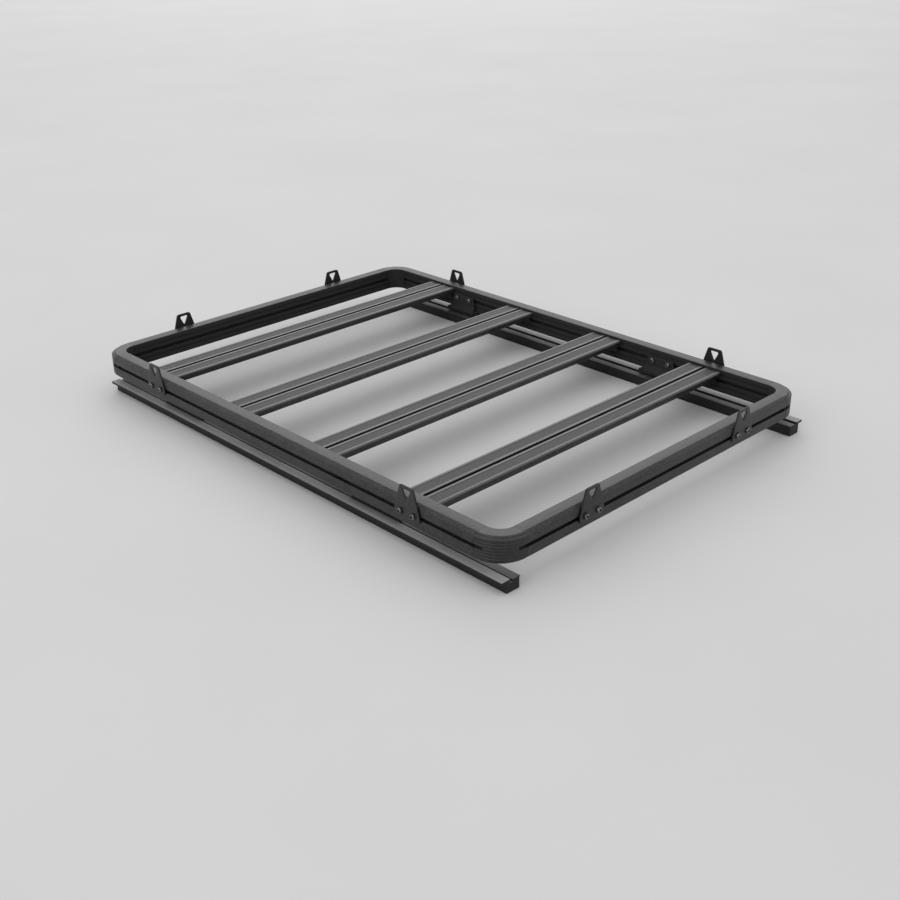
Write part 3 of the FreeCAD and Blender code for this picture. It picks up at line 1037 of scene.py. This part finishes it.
@dataclass
class PerimeterRails:
    """The four rails round the frame, with a slot along each of their two upright faces."""

    profile: RailProfile = RailProfile()
    slot_lip: float = 3.0 * MM
    chamber_width: float = 15.0 * MM
    chamber_depth: float = 6.5 * MM
    groove_height: float = 5.5 * MM
    groove_depth: float = 2.2 * MM
    groove_space: float = 15.75 * MM
    slot_edge: float = 0.375 * MM
    end_bevel: float = 0.3 * MM
    joint: float = 0.3 * MM

    def slot(self, face: float, inwards: float, level: float) -> list[Span]:
        """Corners of a slot with a wider chamber behind its lips, from its lower lip to its upper.

        Args:
            face: Place of the face that it opens.
            inwards: Direction into the rail, 1 or -1.
            level: Height of its middle.

        Returns:
            The corners.
        """
        lip = face + inwards * self.slot_lip
        floor = lip + inwards * self.chamber_depth
        half, wide = self.profile.slot_opening / 2, self.chamber_width / 2
        lower = [(face, level - half), (lip, level - half), (lip, level - wide), (floor, level - wide)]
        return lower + [(across, 2 * level - up) for across, up in reversed(lower)]

    def groove(self, level: float) -> list[Span]:
        """Corners of a shallow groove in the inner face, from its upper edge to its lower."""
        high, low = level + self.groove_height / 2, level - self.groove_height / 2
        return [(0, high), (self.groove_depth, high), (self.groove_depth, low), (0, low)]

    def section(self, height: float, inner_level: float) -> np.ndarray:
        """Section of a rail: its corners in order, each with its own radius.

        Args:
            height: Height of the rail.
            inner_level: Height of the inner slot.

        Returns:
            Points (outwards from the inner face, up from the top), anticlockwise.
        """
        profile, edge = self.profile, self.profile.edge_radius
        foot = [(0, -height), (profile.bottom_flat, -height), (profile.width, -profile.side_drop)]
        outer = self.slot(profile.width, -1, -profile.slot_drop)
        crown = [(profile.width, -profile.slope_drop), (profile.top_flat, 0), (0, 0)]
        inner = self.groove(inner_level + self.groove_space)
        inner += self.slot(0, 1, inner_level)[::-1]
        inner += self.groove(inner_level - self.groove_space)
        fine = [self.slot_edge]
        radii = [edge] * 3 + fine * len(outer) + [edge, profile.crest_radius, edge] + fine * len(inner)
        return rounded_outline(np.array(foot + outer + crown + inner), np.array(radii), steps=5)

    def build(self) -> None:
        """Make the four rails in place of the plain ones."""
        along_y = PowderCoat("side_rail_coat", Draw.ALONG_Y).material()
        along_x = PowderCoat("end_rail_coat", Draw.ALONG_X).material()
        slot_level = inner_slot_level()
        for side in Side:
            low, high = node_box(side.rail)
            section = self.section(high[2] - low[2], slot_level - high[2])
            end = inner_face(Side.FRONT if side.sideways else Side.RIGHT)
            span = end - self.profile.corner_radius - self.joint
            place = side.outward * inner_face(side) + UP * high[2]
            form = bar(section, span, self.end_bevel).placed(side.basis, place)
            coat = along_y if side.sideways else along_x
            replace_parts(form.piece(f"{side.rail}_extrusion", coat, "frame_rail"), side.rail)


@dataclass
class CornerCastings:
    """Rounded corners with fine grooves round their slope and side, and the outer slots' ends."""

    profile: RailProfile = RailProfile()
    groove_depth: float = 1.1 * MM
    groove_width: float = 0.9 * MM
    side_grooves: int = 6
    slope_grooves: int = 1
    slot_depth: float = 6.0 * MM
    slot_turn: float = math.radians(16.0)
    slot_wall: float = 0.004
    points: int = 460
    segments: int = 49

    def outline(self, height: float) -> np.ndarray:
        """Section of the casting: rounded outline, cut by bell-shaped grooves square to its faces.

        Args:
            height: Height of the section.

        Returns:
            Points (outwards, up) from the inner top edge's sharp corner, anticlockwise.
        """
        profile, edge = self.profile, self.profile.edge_radius
        crest = np.array([profile.top_flat, 0.0])
        shoulder = np.array([profile.width, -profile.slope_drop])
        skirt = np.array([profile.width, -profile.side_drop])
        foot = [(0, -height), (profile.bottom_flat, -height)]
        corners = np.array([*foot, skirt, shoulder, crest, (0, 0)])
        radii = np.array([edge, edge, edge, edge, profile.crest_radius, edge])
        outline = evenly(rounded_outline(corners, radii), self.points)
        slope = np.arange(1, self.slope_grooves + 1) / (self.slope_grooves + 1)
        side = np.arange(1, self.side_grooves + 1) / (self.side_grooves + 1)
        middles = np.vstack([
            crest + slope[:, None] * (shoulder - crest),
            shoulder + side[:, None] * (skirt - shoulder),
        ])
        away = np.linalg.norm(outline[:, None] - middles[None], axis=2)
        depth = self.groove_depth * np.exp(-((away / self.groove_width) ** 2)).sum(axis=1)
        return outline + inward(outline) * depth[:, None]

    def slot_cut(self, turn: np.ndarray, outline: np.ndarray) -> np.ndarray:
        """Depth of the slots' ends: full near both joints and within the slot's width, else none.

        Args:
            turn: Angle of each section from the first joint.
            outline: Section of the casting.

        Returns:
            Depth of each point, sections by points.
        """
        near_joint = np.minimum(turn, QUARTER - turn) < self.slot_turn
        outer = outline[:, 0] > self.profile.top_flat
        off_middle = np.abs(outline[:, 1] + self.profile.slot_drop)
        in_slot = outer & (off_middle < self.profile.slot_opening / 2)
        return self.slot_depth * (near_joint[:, None] & in_slot[None])

    def form(self, centre: np.ndarray, start: float, height: float) -> Form:
        """Section carried a quarter turn about an upright axis, less the slots' ends.

        The sections stand at even angles, with two more at the end of each slot for its end wall.

        Args:
            centre: Centre of the turn at the frame's top.
            start: Angle at which the turn starts.
            height: Height of the casting.

        Returns:
            The casting.
        """
        outline = self.outline(height)
        wall = self.slot_turn + self.slot_wall * np.array([-1, 1])
        even = np.linspace(0, QUARTER, self.segments)
        turn = np.unique(np.concatenate([even, wall, QUARTER - wall]))
        reach = self.profile.corner_radius + outline[None, :, 0] - self.slot_cut(turn, outline)
        angle = (start + turn)[:, None]
        level = np.broadcast_to(outline[None, :, 1], reach.shape)
        grid = np.stack([reach * np.cos(angle), reach * np.sin(angle), level], axis=-1) + centre
        return grid_form(grid[:, ::-1], (False, True), caps=True)

    def build(self) -> None:
        """Make the four corners in place of the plain ones."""
        coat = CastCoat("corner_coat").material()
        reach = np.array([inner_face(Side.RIGHT), inner_face(Side.FRONT)]) - self.profile.corner_radius
        for quarter, word in enumerate(("front_right", "front_left", "rear_left", "rear_right")):
            name = f"{word}_corner"
            low, high = node_box(name)
            centre = np.append(np.sign((low + high)[:2]) * reach, high[2])
            form = self.form(centre, quarter * QUARTER, high[2] - low[2])
            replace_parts(form.piece(f"{name}_casting", coat, "corner"), name)


@dataclass
class CrossRails:
    """The four wide slats across the frame, and the brackets under their ends."""

    count: int = 4
    bracket_leg: float = 3.0 * MM
    bracket_pebbles: float = 0.07 * MM
    side_bolts: float = 32.0 * MM
    side_twist: float = 0.3
    upright_bolts: float = 58.0 * MM
    upright_reach: float = 19.0 * MM
    upright_twist: float = 0.2

    def build(self) -> None:
        """Dress the slats and brackets, and bolt the brackets on."""
        bracket_coat = PowderCoat("bracket_coat", pebble_depth=self.bracket_pebbles).material()
        slot_level = inner_slot_level()
        bolts = []
        for number in range(1, self.count + 1):
            name = f"cross_rail_{number}"
            low, high = node_box(name)
            middle = (low[1] + high[1]) / 2
            dress(name, GripCoat(f"{name}_coat", middle=middle).material())
            for side in (Side.LEFT, Side.RIGHT):
                bracket = f"{name}_{side.word}_bracket"
                dress(bracket, bracket_coat)
                bolts += self.bracket_bolts(bracket, side, middle, slot_level)
        bolt_pieces("bracket", bolts)

    def bracket_bolts(
        self, bracket: str, side: Side, middle: float, slot_level: float
    ) -> list[tuple[Form, Form]]:
        """Two bolts into the side rail's inner slot and two up into the slat.

        Args:
            bracket: Name of the bracket's node.
            side: Side of the rack that it is on.
            middle: Y of the slat's middle.
            slot_level: Height of the inner slot.

        Returns:
            The four bolts.
        """
        low, high = node_box(bracket)
        out = side.outward[0]
        wall = high[0] if side is Side.RIGHT else low[0]
        leg, shelf = wall - out * self.bracket_leg, wall - out * self.upright_reach
        bolts = []
        for hand in (-1, 1):
            level = np.array([leg, middle + hand * self.side_bolts / 2, slot_level])
            bolts.append(M6_BUTTON.at(level, -side.outward, self.side_twist * hand))
            below = [shelf, middle + hand * self.upright_bolts / 2, high[2] - self.bracket_leg]
            bolts.append(M6_BUTTON.at(np.array(below), -UP, self.upright_twist * hand))
        return bolts


@dataclass
class TieDowns:
    """Upright plates with a three-sided eye, bolted to the outer slot."""

    profile: RailProfile = RailProfile()
    side_places: tuple[tuple[str, float], ...] = (("front", 464.0 * MM), ("rear", -473.5 * MM))
    end_places: tuple[tuple[str, float], ...] = (("left", -266.0 * MM), ("right", 266.0 * MM))
    thickness: float = 4.0 * MM
    base_width: float = 76.0 * MM
    top_width: float = 40.0 * MM
    foot_drop: float = 39.0 * MM
    rise: float = 33.0 * MM
    shoulder_height: float = 13.0 * MM
    corner_radius: float = 7.0 * MM
    foot_radius: float = 3.5 * MM
    eye_bar: float = 7.0 * MM
    eye_height: float = 26.0 * MM
    eye_width: float = 27.0 * MM
    eye_top_radius: float = 3.5 * MM
    eye_foot_radius: float = 2.5 * MM
    edge_round: float = 0.9 * MM
    bolt_spacing: float = 39.0 * MM
    rays: int = 120
    face_rows: int = 6
    edge_rows: int = 4

    @property
    def height(self) -> float:
        """Height of a plate."""
        return self.foot_drop + self.rise

    def plate_outline(self) -> np.ndarray:
        """Outer outline of the flat plate, a foot that narrows to the top above its shoulders.

        Returns:
            Points (along the rail, up from the foot), anticlockwise.
        """
        base, top, shoulder = self.base_width / 2, self.top_width / 2, self.shoulder_height
        right = [(base, 0), (base, shoulder), (top, self.height)]
        left = [(-top, self.height), (-base, shoulder), (-base, 0)]
        radii = np.full(6, self.corner_radius)
        radii[[0, -1]] = self.foot_radius
        return rounded_outline(np.array(right + left), radii)

    def eye_outline(self) -> np.ndarray:
        """Outline of the eye, a triangle on its point with round corners.

        Returns:
            Points (along the rail, up from the foot), anticlockwise.
        """
        top, half = self.height - self.eye_bar, self.eye_width / 2
        corners = np.array([(0, top - self.eye_height), (half, top), (-half, top)])
        return rounded_outline(corners, np.array([self.eye_foot_radius] + [self.eye_top_radius] * 2))

    def plate(self) -> Form:
        """Plate as one ring-shaped surface round the eye.

        Rays from the eye's middle pair each point of the outer outline with one of the eye's. The
        section between them goes along the front face, round the eye's edge, back along the rear
        face and round the outer edge. Each edge is a quarter round: at angle q its inset is the
        radius times one less sine q, and its drop the radius times one less cosine q.

        Returns:
            Points (outwards from the rail's face, along the rail, up from the foot).
        """
        rim, eye = self.plate_outline(), self.eye_outline()
        centre = eye.mean(axis=0)
        angles = ray_angles(centre, (rim, eye), self.rays)
        outer, inner = by_angle(rim, centre, angles), by_angle(eye, centre, angles)
        quarter = np.linspace(0, QUARTER, self.edge_rows)
        inset = self.edge_round * (1 - np.sin(quarter))[:, None, None]
        drop = self.edge_round * (1 - np.cos(quarter))
        at_eye = inner - inward(inner) * inset
        at_rim = outer + inward(outer) * inset
        share = np.linspace(0, 1, self.face_rows)[1:-1, None, None]
        face = at_rim[0] + share * (at_eye[0] - at_rim[0])
        rings = np.concatenate([face, at_eye, at_eye[::-1], face[::-1], at_rim, at_rim[::-1]])
        front, rear = np.full(len(face), self.thickness), np.zeros(len(face))
        top = self.thickness - drop
        depth = np.concatenate([front, top, drop[::-1], rear, drop, top[::-1]])[:, None]
        out = np.broadcast_to(depth, rings.shape[:2])
        grid = np.stack([out, rings[:, :, 0], rings[:, :, 1]], axis=-1)
        return grid_form(grid, (True, True))

    def build(self) -> None:
        """Make the eight plates in place of the plain ones, with two bolts each."""
        side_coat = PlateCoat("side_tie_down_coat", across=Side.RIGHT.value).material()
        end_coat = PlateCoat("end_tie_down_coat", across=Side.FRONT.value).material()
        plate = self.plate()
        top = UP * node_box(Side.RIGHT.rail)[1][2]
        bolts = []
        for side in Side:
            coat = side_coat if side.sideways else end_coat
            face = side.outward * (inner_face(side) + self.profile.width) + top
            for end, place in self.side_places if side.sideways else self.end_places:
                name = f"{side.word}_tie_down_{end}"
                middle = face + np.abs(side.along) * place
                form = plate.placed(side.basis, middle - UP * self.foot_drop)
                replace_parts(form.piece(f"{name}_plate", coat, "tie_down"), name)
                seat = middle + side.outward * self.thickness - UP * self.profile.slot_drop
                bolts += bolt_pair(seat, side.along * self.bolt_spacing / 2, side.outward, len(bolts))
        bolt_pieces("tie_down", bolts)


@dataclass
class FeetAndTracks:
    """Feet on the inner slots, each with a web under the rail that stands on a mounting track.

    Places across the rack are from the side rail's inner face, outwards. A track's own are from
    its middle, which is set out by its offset.
    """

    track_offset: float = 8.0 * MM
    track_reach: Span = (-20.0 * MM, 32.0 * MM)
    track_height: float = 30.0 * MM
    track_flange: float = 6.0 * MM
    track_box: float = 36.0 * MM
    track_step: float = 3.0 * MM
    track_groove: Span = (2.0 * MM, 8.0 * MM)
    track_groove_depth: float = 8.0 * MM
    track_ends: Span = (-739.0 * MM, 697.5 * MM)
    track_edge: float = 0.8 * MM
    track_bevel: float = 0.5 * MM
    places: tuple[tuple[str, float], ...] = (("front", 391.0 * MM), ("rear", -340.0 * MM))
    plate: float = 6.0 * MM
    plate_rise: float = 10.0 * MM
    reach: float = 15.0 * MM
    shoulder_rise: float = 15.0 * MM
    shoulder_drop: float = 6.0 * MM
    web: Span = (1.0 * MM, 16.0 * MM)
    top_half: float = 40.0 * MM
    shoulder_half: float = 47.5 * MM
    web_half: float = 78.0 * MM
    web_taper: float = 8.0 * MM
    foot_rounds: tuple[float, ...] = (2 * MM, MM, MM, MM, MM, 2 * MM, 4 * MM, 2 * MM)
    web_round: float = 1.0 * MM
    bevel: float = 0.8 * MM
    rail_bolts: float = 50.0 * MM

    def track(self) -> Form:
        """Track: a box section under a wider flange, with a groove and a lower step on its inner half.

        Returns:
            Points from the side rail's inner face and the floor.
        """
        box, high = self.track_box / 2, self.track_height
        (inner, outer), (near, far) = self.track_reach, self.track_groove
        under, step = high - self.track_flange, high - self.track_step
        floor = high - self.track_groove_depth
        corners = np.array([
            (box, 0), (box, under), (outer, under), (outer, high), (far, high), (far, floor),
            (near, floor), (near, step), (inner, step), (inner, under), (-box, under), (-box, 0),
        ])
        section = rounded_outline(corners, np.full(len(corners), self.track_edge), steps=4)
        rear, front = self.track_ends
        return bar(section + np.array([self.track_offset, 0]), (front - rear) / 2, self.track_bevel)

    def foot(self, rail_foot: float, slot_level: float) -> Form:
        """Foot: a plate with a sloped shoulder, and a web that leans in at its ends.

        Both are bars along the rail. The half length of each point is read from its height.

        Args:
            rail_foot: Height of the rail's underside.
            slot_level: Height of the inner slot.

        Returns:
            Points from the side rail's inner face and the floor.
        """
        top, shoulder = slot_level + self.plate_rise, rail_foot + self.shoulder_rise
        low, stand = rail_foot - self.shoulder_drop, self.track_height
        web_in, web_out = self.web
        corners = np.array([
            (-self.reach, low), (web_out, low), (web_out, rail_foot), (0, rail_foot), (0, top),
            (-self.plate, top), (-self.plate, shoulder), (-self.reach, rail_foot),
        ])
        section = rounded_outline(corners, np.array(self.foot_rounds), steps=5)
        half = np.interp(section[:, 1], [shoulder, top], [self.shoulder_half, self.top_half])
        web_corners = np.array([(web_in, stand), (web_out, stand), (web_out, low), (web_in, low)])
        web = rounded_outline(web_corners, np.full(4, self.web_round), steps=4)
        lean = (web[:, 1] - stand) / (rail_foot - stand) * self.web_taper
        return joined([bar(section, half, self.bevel), bar(web, self.web_half - lean, self.bevel)])

    def build(self) -> None:
        """Make feet and tracks in place of the plain ones, and bolt the feet to the rails."""
        coat = FootCoat("foot_coat").material()
        anodised = Anodised("track_anodised").material()
        slot_level = inner_slot_level()
        foot = self.foot(node_box(Side.RIGHT.rail)[0][2], slot_level)
        forward = Side.FRONT.outward
        bolts = []
        for side in (Side.LEFT, Side.RIGHT):
            face = side.outward * inner_face(side)
            track = self.track().placed(side.basis, face + forward * sum(self.track_ends) / 2)
            piece = track.piece(f"{side.word}_track_extrusion", anodised, "track")
            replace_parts(piece, f"{side.word}_mounting_track")
            for end, place in self.places:
                name = f"{end}_{side.word}_foot"
                centre = face + forward * place
                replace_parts(foot.placed(side.basis, centre).piece(f"{name}_casting", coat, "foot"), name)
                seat = centre - side.outward * self.plate + UP * slot_level
                bolts += bolt_pair(seat, side.along * self.rail_bolts / 2, -side.outward, len(bolts))
        bolt_pieces("foot", bolts)


# Studio

@dataclass(frozen=True)
class Softbox:
    """Large soft lamp outside the picture, facing the rack."""

    name: str
    place: Triple
    target: Triple
    width: float
    height: float
    power: float

    def build(self) -> None:
        """Put the lamp in its place, turned to its target."""
        lamp = bpy.data.lights.new(self.name, "AREA")
        lamp.shape = "RECTANGLE"
        lamp.size, lamp.size_y = self.width, self.height
        lamp.energy = self.power
        piece = bpy.data.objects.new(self.name, lamp)
        aim = Vector(self.target) - Vector(self.place)
        turn = aim.to_track_quat("-Z", "Y").to_matrix().to_4x4()
        piece.matrix_world = Matrix.Translation(self.place) @ turn
        piece.visible_camera = False
        bpy.context.scene.collection.objects.link(piece)
        log.info("%s: %.0f W", self.name, self.power)


@dataclass
class Studio:
    """Pale floor, soft lights and the camera at the photograph's angle."""

    camera_place: Triple = (-2.0000, -2.1352, 1.2985)
    camera_heading: float = math.radians(43.776)
    camera_dip: float = math.radians(25.883)
    camera_roll: float = math.radians(-0.786)
    camera_lens: float = 49.694
    camera_reach: float = 200.0
    floor_size: float = 60.0
    world_level: float = 0.78
    softboxes: tuple[Softbox, ...] = (
        Softbox("overhead_softbox", (0.8, 1.6, 7.2), (0, 0, 0), width=8.0, height=6.0, power=60.0),
        Softbox("far_softbox", (8.5, 9.5, 6.2), (0, 0, 0.1), width=11.5, height=5.8, power=300.0),
        Softbox("near_softbox", (-8.4, -1.0, 4.8), (0, 0, 0.1), width=6.0, height=4.0, power=130.0),
    )

    def build(self) -> None:
        """Set up floor, light and camera."""
        self.floor()
        self.world()
        for softbox in self.softboxes:
            softbox.build()
        self.camera()
        bpy.context.scene.view_settings.view_transform = "Standard"

    def floor(self) -> None:
        """Flat floor under the tracks."""
        half = self.floor_size / 2
        mesh = bpy.data.meshes.new("floor")
        corners = [(-half, -half, 0), (half, -half, 0), (half, half, 0), (-half, half, 0)]
        mesh.from_pydata(corners, [], [(0, 1, 2, 3)])
        mesh.materials.append(PaleFloor().material())
        floor = bpy.data.objects.new("floor", mesh)
        bpy.context.scene.collection.objects.link(floor)

    def world(self) -> None:
        """Even soft light from all round."""
        world = bpy.data.worlds.new("studio_air")
        world.use_nodes = True
        background = world.node_tree.nodes["Background"]
        background.inputs["Color"].default_value = grey(1.0)
        background.inputs["Strength"].default_value = self.world_level
        bpy.context.scene.world = world

    def camera(self) -> None:
        """Camera from its place, heading east of +Y, dip below level and roll."""
        heading, dip, roll = self.camera_heading, self.camera_dip, self.camera_roll
        level = Vector((math.cos(heading), -math.sin(heading), 0))
        forward = Vector((math.sin(heading), math.cos(heading), 0))
        ahead = forward * math.cos(dip) - Vector(UP) * math.sin(dip)
        right = level * math.cos(roll) + level.cross(ahead) * math.sin(roll)
        turn = Matrix((right, right.cross(ahead), -ahead)).transposed().to_4x4()
        data = bpy.data.cameras.new("camera")
        data.lens = self.camera_lens
        data.clip_end = self.camera_reach
        camera = bpy.data.objects.new("camera", data)
        camera.matrix_world = Matrix.Translation(self.camera_place) @ turn
        bpy.context.scene.collection.objects.link(camera)
        bpy.context.scene.camera = camera


def main() -> None:
    """Build the rack's finishes and fittings in order, then the studio round it."""
    logging.basicConfig(level=logging.INFO, format="%(name)s: %(message)s")
    rack = (PerimeterRails(), CornerCastings(), CrossRails(), TieDowns(), FeetAndTracks())
    for assembly in (*rack, Studio()):
        log.info("building %s", type(assembly).__name__)
        assembly.build()


if __name__ == "__main__":
    main()
